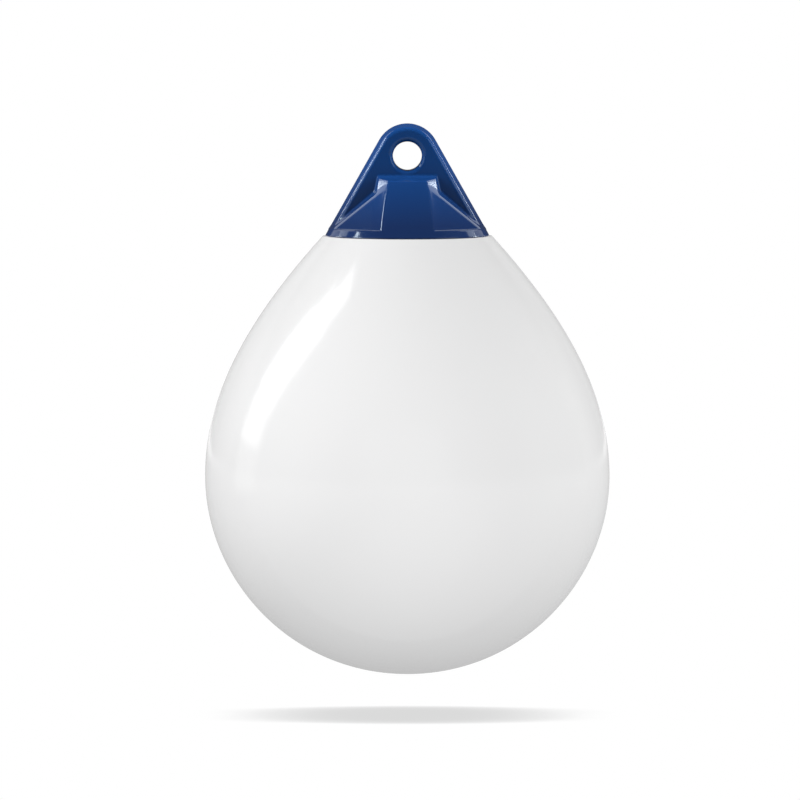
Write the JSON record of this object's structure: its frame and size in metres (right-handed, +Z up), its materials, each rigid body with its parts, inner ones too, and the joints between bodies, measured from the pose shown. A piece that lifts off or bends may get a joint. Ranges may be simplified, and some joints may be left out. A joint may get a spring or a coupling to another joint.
{
  "type": "ball fender",
  "caption": "Inflatable teardrop ball of soft vinyl that hangs from a moulded head with a rope eye, to keep a boat off a quay or mark a mooring.",
  "frame": {"origin": "centre of the rope eye, on the axis of the ball and midway through the eye's plate", "axes": "+Z up along the ball's axis, from the ball to the eye; +Y along the eye's bore towards the valve side; -Y is the pictured front"},
  "size_m": [0.2799, 0.28, 0.3811],
  "materials": {
    "white_vinyl": "gloss",
    "blue_vinyl": "satin gloss",
    "valve_plastic": "satin",
    "seal_rubber": "matte"
  },
  "bodies": {
    "root": {"ball_shell": "white_vinyl", "rope_eye_head": "blue_vinyl", "valve_seat": "valve_plastic", "valve_seal": "seal_rubber", "valve_plug": "valve_plastic"}
  },
  "joints": []
}
